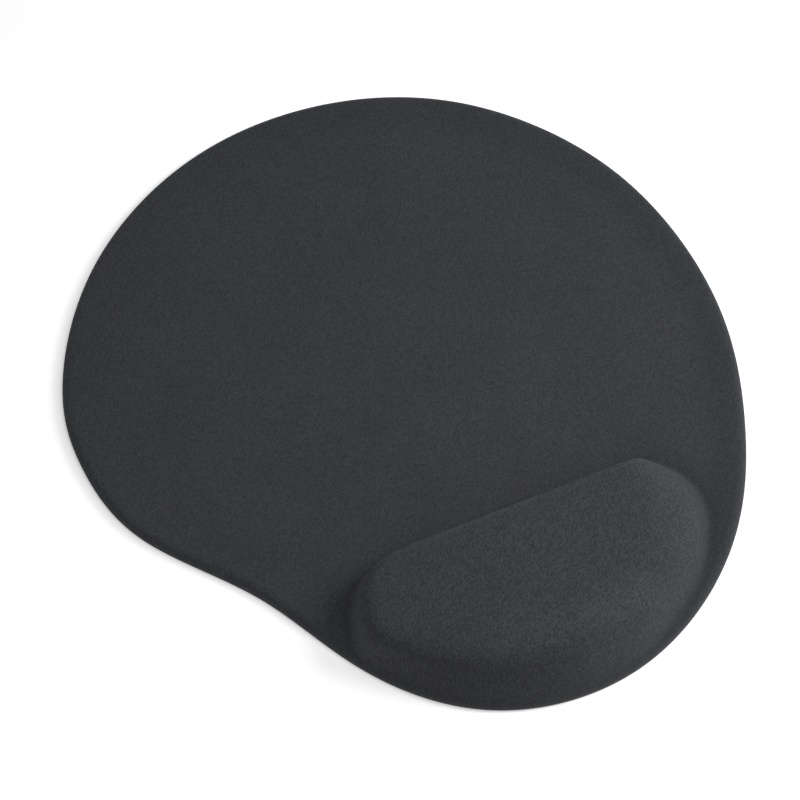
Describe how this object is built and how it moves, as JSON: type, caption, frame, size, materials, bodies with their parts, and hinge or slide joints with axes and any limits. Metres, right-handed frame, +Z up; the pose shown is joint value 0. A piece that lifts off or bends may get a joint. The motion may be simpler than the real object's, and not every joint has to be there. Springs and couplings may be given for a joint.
{
  "type": "mouse mat with wrist rest",
  "caption": "Comma-shaped knit-covered mouse mat with a raised soft gel wrist rest built into its near right-hand corner.",
  "frame": {"origin": "on the desk, under the middle of the mat's bounding box", "axes": "+Z up from the desk, +Y away from the user, +X to the user's right; the wrist rest is at low Y on the right"},
  "size_m": [0.2225, 0.2395, 0.02],
  "materials": {
    "cover_knit": "matte",
    "pouch_film": "satin",
    "soft_gel": "gloss",
    "sheet_foam": "matte",
    "base_sheet": "satin"
  },
  "bodies": {
    "root": {"fabric_cover": "cover_knit", "upper_film": "pouch_film", "gel_pad": "soft_gel", "lower_film": "pouch_film", "foam_core": "sheet_foam", "nonslip_base": "base_sheet"}
  },
  "joints": []
}
